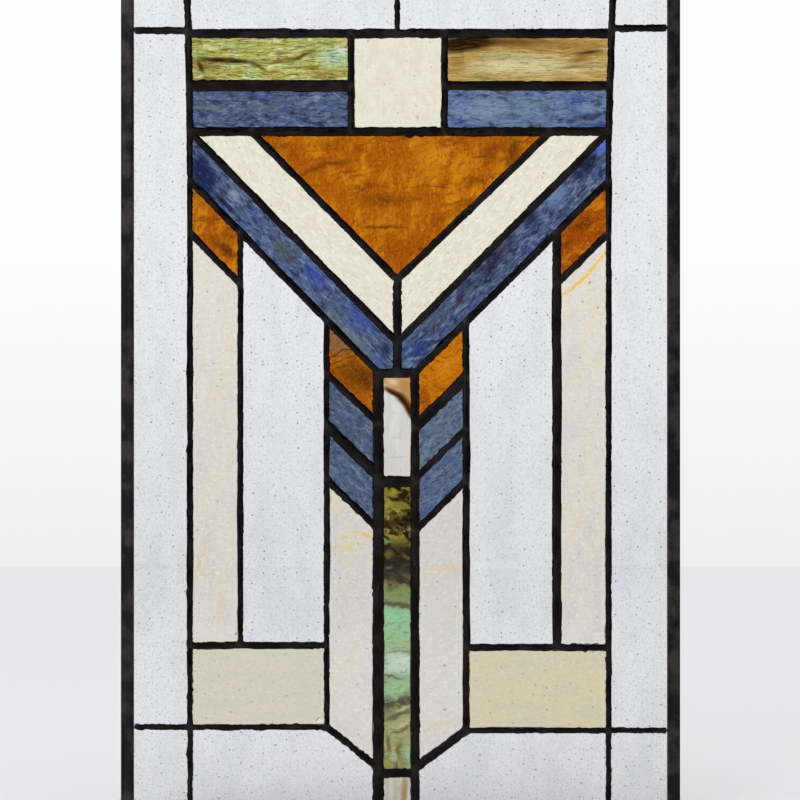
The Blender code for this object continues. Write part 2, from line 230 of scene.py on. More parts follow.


# Lead came is drawn lead, blackened with a patina. It gives the eye a dull, near-black metal, greyer in the
# patches that have been rubbed, browner on the lips with a painted brownish edge highlight, and brighter on
# the solder.
def lead_material(name, light, dark, edge):
    """Patinated lead: its rubbed and its dark tint, and that of the painted brownish highlight on its lips.
    """
    material, tree = new_material(name)
    place = add(tree, "TexCoord").outputs["Object"]
    place = add(tree, "VectorMath", {0: place, "Scale": 1000.0}, operation="SCALE").outputs[0]
    patches = add(
        tree, "TexNoise", {"Vector": place, "Scale": 1 / 22, "Detail": 4.0, "Roughness": 0.6}
    ).outputs["Fac"]
    cover = add(
        tree, "MapRange", {"Value": patches, "From Min": 0.42, "From Max": 0.62},
        interpolation_type="SMOOTHSTEP",
    ).outputs[0]
    colour = tinted(tree, cover, to_linear(dark), light)
    # The lips take the edge tint: a painted brownish highlight along the came's edges
    colour = tinted(tree, add(tree, "Attribute", attribute_name="lip_highlight").outputs["Fac"], colour, edge)
    solder = add(tree, "Attribute", attribute_name="solder").outputs["Fac"]
    colour = tinted(tree, solder, colour, SOLDER_TINT)
    grit = add(tree, "TexNoise", {"Vector": place, "Scale": 1 / 1.2, "Detail": 3.0}).outputs["Fac"]
    rough = add(
        tree, "MapRange", {"Value": grit, "From Min": 0.3, "From Max": 0.7, "To Min": 0.36, "To Max": 0.58}
    ).outputs[0]
    bump = add(tree, "Bump", {"Height": grit, "Strength": 0.35, "Distance": 0.0002}).outputs[0]
    shader = add(
        tree, "BsdfPrincipled", {
            "Base Color": colour, "Metallic": 0.9, "Roughness": rough, "Normal": bump,
        }
    )
    add(tree, "OutputMaterial", {"Surface": shader.outputs[0]})
    return material


# A look's rows, in millimetres and degrees: a swirl is (size, reach), a veil and a row of fine (tint, along,
# across, turn, low, high, strength), a streak (tint, x, z, half length, half width, turn, strength,
# softness), a row of seeds (tint, spacing, radius, strength) and a bubble (x, z, radius)

# Seedy window glass is clear, nearly white against the light and a touch lilac. The air left in it gives the
# eye dark specks of all sizes up to 1 mm, painted as shade where the seeds turn the light away, and its drawn
# surface a faint upright waver, painted as faint light and dark bands.
CLEAR = {
    "ground": "F1F2F6", "roughness": 0.02, "coat": 0.0, "swirls": [(30.0, 3.0)],
    "veils": [
        # The drawn surface's waver, painted as faint darker bands
        ("E6E7ED", 60.0, 22.0, 90.0, 0.42, 0.65, 0.7),
        ("DCDDE4", 4.0, 2.2, 90.0, 0.5, 0.7, 0.5),
    ],
    "fine": [
        # Painted shade and painted light of the surface's finer waver
        ("C2C3CC", 1.8, 1.2, 90.0, 0.52, 0.72, 0.55),
        ("FFFFFF", 1.8, 1.0, 0.0, 0.52, 0.72, 0.6),
    ],
    # The seeds' painted shade: dark specks where the light is turned away
    "seeds": [("8E8F9A", 3.2, 0.75, 0.7), ("50525C", 8.5, 1.05, 0.95)],
}
# Hammered cream glass passes a soft, even, warm light. Its rolled dimples, 3 to 5 mm across, bend the light
# into small light flecks beside dimmer ones, which its fine rows paint as highlights and shade, and it has
# few specks.
CREAM = {
    "ground": "F2ECDB", "roughness": 0.12, "coat": 0.5, "swirls": [(12.0, 0.6)],
    "veils": [("E8E1CD", 16.0, 8.0, 90.0, 0.42, 0.65, 0.7)],
    "fine": [
        # Painted shade, then painted highlights: the dim and the light flecks that the dimples' bending of
        # the light gives
        ("DDD5BF", 6.0, 2.4, 90.0, 0.48, 0.72, 0.6),
        ("FFFEF4", 5.2, 2.1, 90.0, 0.53, 0.7, 0.8),
    ],
    "seeds": [("8A7A54", 12.0, 0.9, 0.9)],
}
# Amber glass is iron and sulphur brown: a deep orange where the light comes through, with soft brown clouds
# where the melt is denser, and a fine upright grain from the rolling.
AMBER = {
    "ground": "B46004", "roughness": 0.08, "coat": 0.3, "swirls": [(20.0, 1.2)],
    "veils": [
        ("DC8C10", 28.0, 12.0, 80.0, 0.46, 0.68, 0.8),
        ("EE9C1E", 12.0, 1.5, 90.0, 0.54, 0.76, 0.4),
        ("7A3802", 26.0, 8.0, 10.0, 0.5, 0.72, 0.7),
    ],
    "fine": [
        ("6C3000", 12.0, 1.3, 90.0, 0.5, 0.74, 0.35),
        ("6C3000", 3.4, 2.2, 35.0, 0.48, 0.72, 0.5),
        ("F0A83A", 3.0, 1.8, 60.0, 0.54, 0.76, 0.3),
    ],
}
# Blue streaky glass is stirred from slate, grey and cobalt. It gives the eye drawn-out clouds with fine
# fibres in them, near black where the dark metal is thick and pale where the white runs through.
BLUE = {
    "ground": "4E5F80", "roughness": 0.08, "coat": 0.3, "swirls": [(24.0, 1.2), (6.0, 0.35)],
    "veils": [
        ("7A8EB2", 10.0, 3.6, 0.0, 0.47, 0.68, 0.8),
        ("3A4E98", 22.0, 9.0, 0.0, 0.5, 0.68, 0.55),
        ("1E2844", 10.0, 4.4, 0.0, 0.48, 0.66, 0.8),
        ("9AADCC", 5.0, 1.2, 0.0, 0.53, 0.73, 0.45),
    ],
    "fine": [
        ("7086B0", 6.0, 1.6, 0.0, 0.52, 0.75, 0.3),
        ("161E34", 5.0, 1.3, 0.0, 0.5, 0.71, 0.55),
    ],
}
# The barbs are cut from a calmer part of the same blue: a matt slate with a fine, even mottle
BARB_BLUE = {
    **BLUE,
    "veils": [
        ("7E92AE", 13.0, 4.0, 0.0, 0.46, 0.7, 0.65),
        ("3E528E", 20.0, 8.0, 0.0, 0.52, 0.7, 0.35),
        ("36425E", 7.0, 3.0, 0.0, 0.47, 0.68, 0.65),
    ],
    "fine": [
        ("93A6C2", 3.2, 1.3, 0.0, 0.53, 0.73, 0.4),
        ("202A40", 3.2, 1.4, 0.0, 0.5, 0.71, 0.6),
    ],
}
# Green streaky glass mixes olive, leaf green, brown and a little white. Drawn lengthwise in the rolling, it
# gives the eye long straight fibres in all of these, crossed by a few thick brown threads.
GREEN = {
    "ground": "B8BC5C", "roughness": 0.08, "coat": 0.3, "swirls": [(40.0, 1.0), (8.0, 0.2)],
    "veils": [
        ("DCE29C", 20.0, 5.0, 0.0, 0.47, 0.65, 0.8),
        ("90C874", 24.0, 7.0, 3.0, 0.5, 0.68, 0.6),
        ("8A6A1A", 30.0, 3.4, 0.0, 0.49, 0.66, 0.8),
        ("F6F4D0", 9.0, 1.4, 0.0, 0.52, 0.7, 0.7),
    ],
    "fine": [
        ("6A4C0C", 13.0, 1.1, 0.0, 0.5, 0.68, 0.75),
        ("3A2604", 5.0, 0.9, 0.0, 0.53, 0.71, 0.75),
    ],
    "seeds": [("2A2208", 14.0, 0.7, 0.8)],
}
# White opal glass is milky: it spreads the light evenly and looks warm white, with faint tan clouds where
# less white was stirred in, a few amber threads, and small round bubbles, each a painted dark rim of shade
# round a painted highlight.
OPAL = {
    "ground": "E9E6DD", "roughness": 0.12, "coat": 0.5, "swirls": [(30.0, 3.0)],
    "veils": [
        ("F0E2C2", 44.0, 10.0, 75.0, 0.46, 0.7, 0.55),
        ("DEDDD9", 26.0, 12.0, 85.0, 0.46, 0.68, 0.55),
    ],
    "fine": [("CCC8BA", 3.0, 2.0, 90.0, 0.5, 0.76, 0.4), ("FBF9F2", 4.0, 2.4, 0.0, 0.52, 0.72, 0.5)],
    "seeds": [("5E584A", 15.0, 0.9, 0.9)],
}
# Straw opal glass is the same milk with a little yellow: smooth and even, with faint level bands and a few
# brown specks
STRAW = {
    "ground": "E0DAC6", "roughness": 0.12, "coat": 0.5, "swirls": [(30.0, 1.5)],
    "veils": [
        ("E6DDC0", 44.0, 6.0, 0.0, 0.44, 0.7, 0.6),
        ("DAD7CA", 44.0, 10.0, 0.0, 0.48, 0.72, 0.5),
    ],
    "fine": [("C4BCA0", 4.0, 1.6, 0.0, 0.5, 0.78, 0.35), ("F4F0DE", 4.0, 1.8, 0.0, 0.52, 0.76, 0.4)],
    "seeds": [("7E6236", 8.5, 0.95, 0.9)],
}
# Agate glass is white opal with brown poured through it: mostly a pale, smooth white, with a tan pool that
# ends in a soft dark brown rim where the brown metal gathered.
AGATE = {
    "ground": "DEDEDB", "roughness": 0.1, "coat": 0.4, "swirls": [(16.0, 0.9)],
    "veils": [
        ("EBEBE8", 40.0, 7.0, 90.0, 0.44, 0.66, 0.7),
        ("D0CDC2", 24.0, 6.0, 90.0, 0.5, 0.74, 0.5),
        ("BCB8AC", 5.0, 2.5, 90.0, 0.52, 0.78, 0.25),
    ],
}


def varied(look, **changes):
    return {**look, **changes}


def turned(look, turn, **changes):
    """A look whose grain runs at another angle."""
    grain = {}
    for layer in ("veils", "fine"):
        grain[layer] = [(*veil[:3], veil[3] + turn, *veil[4:]) for veil in look[layer]]
    return {**look, **grain, **changes}


LOOKS = {
    "cream_header": varied(CREAM, swirls=[(12.0, 0.2)], fine=[
        # Painted shade and painted highlights of the rolled dimples, finer here
        ("E0D8C2", 7.0, 1.3, 90.0, 0.48, 0.74, 0.6),
        ("FCF8E9", 6.0, 1.3, 0.0, 0.5, 0.74, 0.6),
    ], streaks=[("A8905C", 12.5, 524.0, 2.2, 3.0, 0.0, 0.6, 1.0)]),
    # The chevrons carry the same painted dimple highlights and shade, turned
    "left_cream_chevron": turned(CREAM, -135.0),
    "right_cream_chevron": turned(CREAM, -45.0, shift=3),
    "amber_gable": varied(AMBER, streaks=[
        ("E8981C", 22.0, 492.0, 18.0, 28.0, 0.0, 0.6, 1.0),
        ("9A4802", 0.0, 424.0, 34.0, 28.0, 0.0, 0.6, 1.0),
        ("9A4802", -85.0, 500.0, 26.0, 12.0, -45.0, 0.6, 1.0),
        ("84420A", -56.0, 504.0, 22.0, 7.0, 5.0, 0.6, 1.0),
        ("6A3206", -60.0, 486.0, 26.0, 4.5, 20.0, 0.75, 1.0),
        ("5E2C04", 85.0, 499.0, 24.0, 9.0, 78.0, 0.9, 1.0),
        ("74380A", 68.0, 500.0, 20.0, 8.0, 30.0, 0.75, 1.0),
        ("C8760E", 103.0, 508.0, 9.0, 5.0, 45.0, 0.8, 1.0),
        ("E0900F", 48.0, 484.0, 22.0, 9.0, 60.0, 0.5, 1.0),
        ("7A3A04", -14.0, 463.0, 30.0, 8.0, -4.0, 0.8, 1.0),
        ("8E4804", 30.0, 449.0, 26.0, 6.0, 30.0, 0.6, 1.0),
        ("5A2804", -12.0, 442.0, 30.0, 1.8, -3.0, 0.8, 1.0),
        ("3E1E04", 16.0, 426.5, 4.0, 2.0, 20.0, 0.7, 0.8),
        ("4A2406", 30.0, 472.0, 15.0, 0.9, 0.0, 0.75, 0.8),
        ("4A2406", 60.0, 495.0, 10.0, 0.9, 0.0, 0.75, 0.8),
        ("3E1E04", 52.0, 519.0, 4.0, 6.0, 20.0, 0.7, 0.8),
    ]),
    "left_amber_wing": varied(AMBER, shift=4, ground="AE5A04", streaks=[
        ("B8661A", -150.0, 462.0, 12.0, 14.0, 0.0, 0.6, 1.0),
        ("5A2802", -132.0, 426.0, 16.0, 5.0, -30.0, 0.85, 0.8),
        ("DC8A14", -127.0, 413.0, 7.0, 7.0, 0.0, 0.8, 0.8),
    ]),
    "right_amber_wing": turned(AMBER, -45.0, shift=8, ground="A24A02", streaks=[
        ("C06A12", 146.0, 462.0, 12.0, 8.0, 45.0, 0.6, 1.0),
        ("5E2802", 136.0, 444.0, 14.0, 8.0, 20.0, 0.8, 1.0),
        ("5E2802", 126.0, 430.0, 8.0, 5.0, 45.0, 0.6, 1.0),
    ]),
    "left_amber_barb": turned(AMBER, -45.0, shift=12, ground="A45A06", swirls=[(20.0, 0.5)], streaks=[
        ("6A3A04", -34.0, 332.0, 25.0, 17.0, -35.0, 0.9, 1.0),
        ("4E2E06", -26.0, 327.0, 13.0, 8.0, -50.0, 0.8, 1.0),
        ("9A5608", -36.0, 334.0, 12.0, 1.6, -42.0, 0.6, 1.0),
        ("C06A08", -21.0, 311.0, 11.0, 11.0, 0.0, 0.9, 0.8),
        ("C87A10", -46.0, 341.5, 15.0, 4.5, 15.0, 0.8, 1.0),
        ("8E6644", -50.0, 361.0, 20.0, 12.0, -60.0, 0.97, 0.5),
        ("4A2606", -50.5, 345.2, 6.0, 1.2, 28.0, 0.9, 0.8),
        ("4A2606", -45.0, 349.0, 4.5, 1.2, 36.0, 0.9, 0.8),
        ("4A2606", -39.0, 350.0, 6.0, 1.2, -6.0, 0.9, 0.8),
        ("5E3406", -48.0, 340.4, 9.0, 1.3, 20.0, 0.85, 0.9),
        ("5E3406", -38.0, 344.0, 8.0, 1.3, 12.0, 0.85, 0.9),
        ("5E3406", -46.0, 336.6, 8.0, 1.1, 14.0, 0.8, 0.9),
    ]),
    "right_amber_barb": turned(AMBER, -45.0, shift=16, ground="CC7408", streaks=[
        ("A44602", 17.0, 314.0, 9.0, 18.0, 0.0, 0.85, 1.0),
        ("E8921A", 34.0, 338.0, 14.0, 10.0, 40.0, 0.7, 1.0),
    ]),
    "left_blue_header": varied(BLUE, ground="4E5D78", streaks=[
        ("66786A", -140.0, 531.5, 22.0, 3.0, 0.0, 0.8, 1.0),
        ("5A6A62", -100.0, 532.5, 30.0, 2.4, 2.0, 0.7, 1.0),
        ("8C9EC0", -70.0, 536.0, 14.0, 3.0, 20.0, 0.5, 1.0),
        ("2A3040", -75.0, 527.0, 16.0, 5.0, 0.0, 0.5, 1.0),
    ]),
    "right_blue_header": varied(BLUE, shift=5, ground="667A9E", streaks=[
        ("8A9EBA", 62.0, 530.0, 34.0, 12.0, 0.0, 0.7, 1.0),
        ("7294A2", 96.0, 531.0, 24.0, 11.0, 10.0, 0.7, 1.0),
        ("4460A6", 132.0, 538.0, 18.0, 5.0, 5.0, 0.6, 1.0),
        ("8298C4", 138.0, 531.0, 14.0, 5.0, 5.0, 0.6, 1.0),
        ("2A3450", 143.0, 524.0, 22.0, 4.0, 12.0, 0.85, 1.0),
        ("2E4486", 140.0, 518.0, 22.0, 2.6, 3.0, 0.8, 1.0),
        ("2E4486", 56.0, 517.0, 26.0, 2.4, -2.0, 0.6, 1.0),
        ("484656", 78.0, 542.0, 14.0, 2.6, -12.0, 0.85, 1.0),
    ]),
    "left_blue_chevron": turned(BLUE, -45.0, shift=9, streaks=[
        ("17214C", -148.0, 480.0, 26.0, 12.0, -75.0, 0.95, 0.6),
        ("0E1430", -131.0, 459.5, 16.0, 3.0, -45.0, 0.9, 0.7),
        ("98A8B4", -124.0, 466.0, 9.0, 4.0, -45.0, 0.7, 1.0),
        ("4E5454", -88.0, 424.0, 15.0, 8.0, -50.0, 0.85, 0.9),
        ("561E18", -81.0, 418.0, 4.0, 1.8, -60.0, 0.8, 0.9),
        ("3448A4", -64.0, 405.0, 17.0, 9.0, -45.0, 0.8, 1.0),
        ("1A2448", -56.0, 388.0, 13.0, 1.4, 60.0, 0.7, 0.9),
        ("3C52A4", -30.0, 373.0, 24.0, 9.0, -45.0, 0.75, 1.0),
        ("6E7E84", -37.0, 360.0, 34.0, 6.5, -45.0, 0.85, 1.0),
        ("5E6E6A", -51.0, 377.0, 14.0, 4.5, -50.0, 0.75, 1.0),
        ("1E2848", -11.0, 350.0, 10.0, 8.0, -60.0, 0.85, 0.9),
        ("3C52A0", -16.0, 341.0, 8.0, 5.0, -45.0, 0.6, 1.0),
    ]),
    "right_blue_chevron": turned(BLUE, 45.0, shift=14, ground="445272", streaks=[
        ("5E74DC", 152.0, 503.0, 12.0, 6.0, 60.0, 0.9, 0.8),
        ("151D3A", 140.0, 489.0, 18.0, 10.0, 50.0, 0.93, 0.8),
        ("7490B8", 117.0, 465.0, 16.0, 9.0, 45.0, 0.8, 1.0),
        ("1C2642", 98.0, 448.0, 14.0, 9.0, 30.0, 0.85, 1.0),
        ("262A44", 72.0, 420.0, 26.0, 13.0, 48.0, 0.75, 1.0),
        ("2A1836", 70.0, 414.0, 20.0, 5.0, 58.0, 0.9, 0.9),
        ("5A1C3C", 77.0, 424.0, 10.0, 1.5, 60.0, 0.8, 0.9),
        ("2E3044", 52.0, 398.0, 20.0, 9.0, 45.0, 0.75, 1.0),
        ("521C30", 45.0, 387.0, 11.0, 2.0, 58.0, 0.85, 0.9),
        ("48585E", 30.0, 374.0, 14.0, 8.0, 45.0, 0.75, 1.0),
        ("5E1A20", 25.0, 366.0, 5.0, 2.2, 70.0, 0.85, 0.9),
        ("22397C", 14.0, 349.0, 16.0, 8.0, 45.0, 0.9, 0.9),
        ("84A8A4", 10.0, 343.0, 11.0, 1.6, 10.0, 0.7, 1.0),
    ]),
    "left_upper_blue_barb": turned(BARB_BLUE, -40.0, shift=21, ground="526078"),
    "left_lower_blue_barb": turned(BARB_BLUE, -40.0, shift=25, ground="566888"),
    "right_upper_blue_barb": turned(BARB_BLUE, 40.0, shift=29, ground="66788C"),
    "right_lower_blue_barb": turned(BARB_BLUE, 40.0, shift=33, ground="5C6E8E"),
    "left_green_header": varied(GREEN, streaks=[
        ("7A5A1C", -146.0, 563.0, 20.0, 9.0, 0.0, 0.8, 1.0),
        ("A8BE6C", -120.0, 577.0, 30.0, 4.0, -2.0, 0.5, 1.0),
        ("B8DEBC", -50.0, 569.0, 20.0, 12.0, 0.0, 0.85, 1.0),
        ("E4ECDC", -45.0, 574.0, 9.0, 6.0, 0.0, 0.7, 1.0),
        ("A88E3C", -54.0, 557.0, 20.0, 4.0, 0.0, 0.75, 1.0),
        ("4A3008", -130.0, 567.0, 34.0, 4.0, -4.0, 0.8, 1.0),
        ("2A1404", -131.0, 567.0, 30.0, 2.6, -4.0, 0.97, 0.7),
        ("3A2006", -150.0, 562.5, 8.0, 3.0, -65.0, 0.93, 0.8),
        ("5A3A0C", -106.0, 562.5, 11.0, 2.2, -28.0, 0.9, 0.9),
        ("5A3A0C", -73.5, 570.0, 15.0, 2.2, 24.0, 0.93, 0.9),
        ("86601C", -92.0, 566.0, 16.0, 3.0, 3.0, 0.75, 1.0),
    ]),
    "right_green_header": varied(GREEN, shift=6, ground="BA9850", veils=[
        ("DCC88C", 34.0, 3.4, 0.0, 0.46, 0.68, 0.7),
        ("9A7026", 40.0, 3.0, 2.0, 0.5, 0.7, 0.6),
        ("F2E6B8", 12.0, 1.2, 0.0, 0.53, 0.73, 0.55),
    ], fine=[
        ("7A5014", 16.0, 1.1, 0.0, 0.5, 0.7, 0.55),
        ("4A2C08", 5.0, 0.9, 0.0, 0.56, 0.76, 0.6),
    ], streaks=[
        ("DAD2A0", 96.0, 562.5, 70.0, 10.0, 0.0, 0.93, 0.9),
        ("E6D8AC", 76.0, 563.0, 26.0, 4.0, 0.0, 0.6, 1.0),
        ("A8BC78", 80.0, 570.5, 34.0, 4.0, 0.0, 0.7, 1.0),
        ("9CB268", 58.0, 556.0, 14.0, 3.4, 0.0, 0.7, 1.0),
        ("A27A36", 120.0, 578.0, 60.0, 7.0, 0.0, 0.75, 1.0),
        ("A07430", 43.0, 566.0, 12.0, 12.0, 0.0, 0.6, 1.0),
        ("6C4210", 76.0, 580.0, 60.0, 6.0, 2.0, 0.9, 0.9),
        ("160A01", 47.0, 579.0, 32.0, 9.0, 5.0, 0.98, 0.6),
        ("3E2404", 141.0, 573.0, 18.0, 2.2, 3.0, 0.95, 0.9),
        ("7A5016", 134.0, 568.0, 14.0, 5.0, 20.0, 0.6, 1.0),
        ("7A5016", 128.0, 562.0, 20.0, 2.0, 6.0, 0.8, 1.0),
    ]),
    "green_shaft": varied(GREEN, shift=10, ground="8A7E30", swirls=[(12.0, 1.8), (4.0, 0.6)], veils=[
        ("A09438", 12.0, 7.0, 30.0, 0.5, 0.62, 0.7),
        ("120A01", 11.0, 6.0, -25.0, 0.42, 0.56, 0.98),
        ("BCB458", 5.0, 2.0, 30.0, 0.57, 0.7, 0.6),
    ], fine=[
        ("5E4A10", 9.0, 1.6, 10.0, 0.51, 0.7, 0.45),
    ], streaks=[
        ("A8A448", -10.0, 233.0, 9.0, 10.0, 0.0, 0.75, 1.0),
        ("2A1A04", 2.0, 240.0, 8.0, 10.0, -30.0, 0.7, 1.0),
        ("150C01", -1.5, 220.0, 40.0, 8.0, 8.0, 0.85, 0.9),
        ("0A0500", -1.5, 190.0, 60.0, 22.0, -5.0, 0.97, 0.6),
        ("88AE70", -10.0, 206.0, 8.0, 1.8, 3.0, 0.8, 1.0),
        ("6E6820", -9.0, 197.0, 6.0, 4.0, 20.0, 0.85, 0.8),
        ("6A6218", 4.0, 195.0, 6.0, 1.8, -35.0, 0.85, 0.8),
        ("625A16", -8.0, 186.0, 5.0, 1.8, 40.0, 0.85, 0.8),
        ("5E5814", 6.0, 181.0, 10.0, 2.2, -24.0, 0.85, 0.8),
        ("809850", -1.5, 166.0, 50.0, 9.0, 0.0, 0.95, 0.8),
        ("98CC98", -1.5, 141.0, 90.0, 25.0, 0.0, 0.97, 0.6),
        ("90DCA8", -4.0, 150.0, 14.0, 8.0, 0.0, 0.8, 1.0),
        ("544408", -1.5, 158.0, 44.0, 3.6, -6.0, 0.97, 0.9),
        ("A8BE88", 2.0, 130.0, 24.0, 8.0, -4.0, 0.8, 1.0),
        ("C2DEC4", -1.5, 114.0, 60.0, 15.0, 0.0, 0.95, 0.8),
        ("D2E8D6", 3.0, 118.0, 10.0, 6.0, 0.0, 0.7, 1.0),
        ("7A7038", -1.5, 122.5, 24.0, 1.2, 6.0, 0.7, 0.9),
        ("98C892", -3.0, 97.0, 30.0, 12.0, 12.0, 0.95, 0.8),
        ("4A3A14", -7.0, 105.0, 12.0, 1.6, -16.0, 0.85, 0.9),
        ("A8AA66", -1.5, 60.0, 60.0, 27.0, 8.0, 0.93, 0.6),
        ("3A2906", -1.5, 87.0, 24.0, 2.8, 20.0, 0.93, 1.0),
        ("443208", -1.5, 76.0, 24.0, 3.2, 20.0, 0.93, 1.0),
        ("BCC890", 3.0, 81.0, 12.0, 3.0, 20.0, 0.8, 1.0),
        ("C4C694", 2.0, 69.0, 12.0, 3.0, 20.0, 0.8, 1.0),
        ("4A380C", 2.0, 65.0, 16.0, 2.4, 24.0, 0.85, 1.0),
        ("4E3C0C", -9.0, 55.0, 3.0, 12.0, 8.0, 0.85, 1.0),
        ("4E3C0C", -1.0, 50.0, 2.6, 11.0, -12.0, 0.85, 1.0),
        ("C0C48C", -5.0, 46.0, 3.0, 9.0, 0.0, 0.7, 1.0),
        ("9CCCA0", 7.0, 45.0, 7.0, 17.0, 0.0, 0.85, 1.0),
    ]),
    "agate_collar": varied(AGATE, swirls=[(16.0, 0.4)], streaks=[
        ("EEE0CC", 6.5, 268.0, 5.0, 26.0, 0.0, 0.75, 1.0),
        ("BCB8AC", -1.5, 269.5, 14.0, 0.9, 3.0, 0.5, 1.0),
        ("C4C0B4", -3.0, 284.0, 12.0, 0.8, -4.0, 0.4, 1.0),
        ("C4965C", 2.0, 330.0, 26.0, 13.0, -14.0, 0.97, 0.3),
        ("BE8E52", 8.0, 315.0, 16.0, 7.5, -58.0, 0.97, 0.4),
        ("EAD2AC", -6.0, 326.0, 7.0, 4.5, -10.0, 0.85, 1.0),
        ("7E4A0C", -6.0, 318.6, 13.0, 3.4, -26.0, 1.0, 0.7),
        ("7E4A0C", 2.0, 312.0, 14.0, 4.8, -48.0, 1.0, 0.7),
        ("7E4A0C", 7.0, 304.0, 11.0, 4.8, -60.0, 1.0, 0.7),
        ("2C1402", -4.0, 316.8, 11.0, 2.2, -30.0, 0.93, 0.9),
        ("2C1402", 2.2, 311.2, 12.0, 2.8, -50.0, 0.95, 0.9),
        ("2C1402", 6.8, 303.2, 10.0, 2.8, -60.0, 0.95, 0.9),
    ]),
    "tail_light": varied(AGATE, shift=3, ground="D2C8B0", streaks=[
        ("AE8852", 2.3, 18.0, 24.0, 3.6, 88.0, 0.9, 0.9),
        ("E6E4DC", -7.0, 20.0, 24.0, 3.0, 90.0, 0.7, 1.0),
    ]),
    "right_opal_strip": varied(OPAL, shift=2, swirls=[(30.0, 0.5)], streaks=[
        ("EFDFB4", 131.0, 377.0, 12.0, 2.6, 22.0, 0.7, 1.0),
        ("EFDFB4", 141.0, 386.0, 9.0, 2.0, 42.0, 0.6, 1.0),
        ("EBDCB4", 145.0, 341.0, 15.0, 1.8, 49.0, 0.7, 1.0),
        ("EBDCB4", 129.0, 328.0, 9.0, 1.8, 22.0, 0.6, 1.0),
        ("F6DC9A", 142.0, 408.0, 24.0, 4.0, 45.0, 0.6, 1.0),
        ("FAC828", 151.0, 419.5, 12.0, 1.6, 54.0, 0.97, 0.8),
        ("FAC828", 143.0, 409.5, 13.0, 1.8, 48.0, 0.97, 0.8),
        ("FAC828", 133.0, 399.5, 13.0, 1.9, 42.0, 0.97, 0.8),
        ("FACC3C", 124.0, 393.0, 10.0, 1.8, 28.0, 0.95, 0.8),
    ], bubbles=[(141.9, 400.2, 1.3), (136.6, 385.8, 0.9), (148.0, 381.4, 0.9), (134.6, 344.0, 0.8)]),
    "left_opal_strip": varied(OPAL, shift=5, swirls=[(30.0, 1.0)], streaks=[
        ("F0CA78", -151.5, 186.0, 15.0, 1.7, 74.0, 0.75, 1.0),
        ("EFDDB0", -134.0, 160.0, 40.0, 5.0, 82.0, 0.5, 1.0),
    ], bubbles=[(-123.5, 137.0, 1.2), (-144.8, 393.5, 0.8), (-140.3, 339.5, 0.8), (-135.0, 327.5, 0.8)]),
    "left_opal_drop": varied(OPAL, shift=8, swirls=[(30.0, 0.5)], ground="E5E3DB", streaks=[
        ("F2DAA0", -39.0, 202.0, 15.0, 5.0, 25.0, 0.75, 1.0),
        ("F2DCA8", -47.0, 226.6, 10.0, 1.8, 45.0, 0.7, 1.0),
        ("F0CC84", -53.0, 238.0, 3.0, 8.0, 0.0, 0.8, 1.0),
        ("F6CE6C", -49.2, 202.5, 7.5, 1.5, 53.0, 0.8, 1.0),
        ("F6CE6C", -42.0, 209.6, 6.5, 1.5, 36.0, 0.8, 1.0),
        ("F6CE6C", -34.5, 213.0, 6.5, 1.6, 10.0, 0.8, 1.0),
        ("F6CA58", -26.0, 210.4, 8.5, 2.8, -24.0, 0.85, 1.0),
    ], bubbles=[(-32.3, 98.8, 0.8), (-27.0, 80.0, 0.8), (-31.5, 61.3, 0.7), (-25.5, 125.8, 0.7)]),
    "right_opal_drop": varied(OPAL, shift=11, swirls=[(30.0, 1.0)], ground="E4E3DC", veils=[
        ("ECE0C6", 30.0, 14.0, 5.0, 0.46, 0.72, 0.35),
        ("DEDEDA", 26.0, 12.0, 5.0, 0.46, 0.68, 0.5),
    ], streaks=[
        ("EEDCB6", 30.0, 184.0, 30.0, 7.0, 8.0, 0.7, 1.0),
        ("F0D6A8", 28.0, 68.0, 24.0, 2.2, 18.0, 0.8, 1.0),
    ], bubbles=[(33.0, 113.0, 1.1), (33.0, 80.0, 1.1), (18.8, 158.0, 0.8), (41.3, 157.3, 0.8)]),
    "left_straw_block": varied(STRAW, streaks=[
        ("F6F2E0", -61.5, 70.5, 3.0, 2.2, 0.0, 0.9, 0.5),
        ("6E6444", -63.0, 72.0, 3.4, 0.6, 50.0, 0.9, 0.8),
    ]),
    "right_straw_block": varied(STRAW, shift=3, ground="E1D8B8", veils=[
        ("E6D9AC", 44.0, 6.0, 0.0, 0.44, 0.7, 0.7),
        ("D8D2BC", 44.0, 10.0, 0.0, 0.48, 0.72, 0.5),
    ]),
}

SHARED_LOOKS = {
    "clear_seedy_glass": CLEAR,
    "cream_hammered_glass": CREAM,
    "amber_glass": AMBER,
    "blue_streaky_glass": BLUE,
    "green_streaky_glass": GREEN,
    "white_opal_glass": OPAL,
    "straw_opal_glass": STRAW,
    "brown_agate_glass": AGATE,
}


def slot_of(name):
    """The record's material slot of a CAD node."""
    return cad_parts[name].data.materials[0].name


def pane_corners(name):
    """The corners of a pane's front face as (x, z), in turn."""
    points = {(v.co.x, v.co.z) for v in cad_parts[name].data.vertices if v.co.y < 0}
    points = [Vector(point) for point in points]
    middle = sum(points, Vector((0.0, 0.0))) / len(points)
    return sorted(points, key=lambda point: math.atan2(point.y - middle.y, point.x - middle.x))


# Pitch of each glass's mesh, and the depth and width of its surface waves
RELIEF = {
    "clear_seedy_glass": (3.0, [(0.10, 24.0), (0.04, 8.0)]),
    "cream_hammered_glass": (1.0, [(0.13, 3.6)]),
    "amber_glass": (1.5, [(0.10, 6.0), (0.05, 3.0)]),
    "blue_streaky_glass": (2.0, [(0.10, 12.0), (0.04, 4.5)]),
    "green_streaky_glass": (2.0, [(0.10, 12.0), (0.05, 4.5)]),
    "white_opal_glass": (2.5, [(0.08, 18.0)]),
    "straw_opal_glass": (2.5, [(0.08, 18.0)]),
    "brown_agate_glass": (2.0, [(0.08, 12.0)]),
}


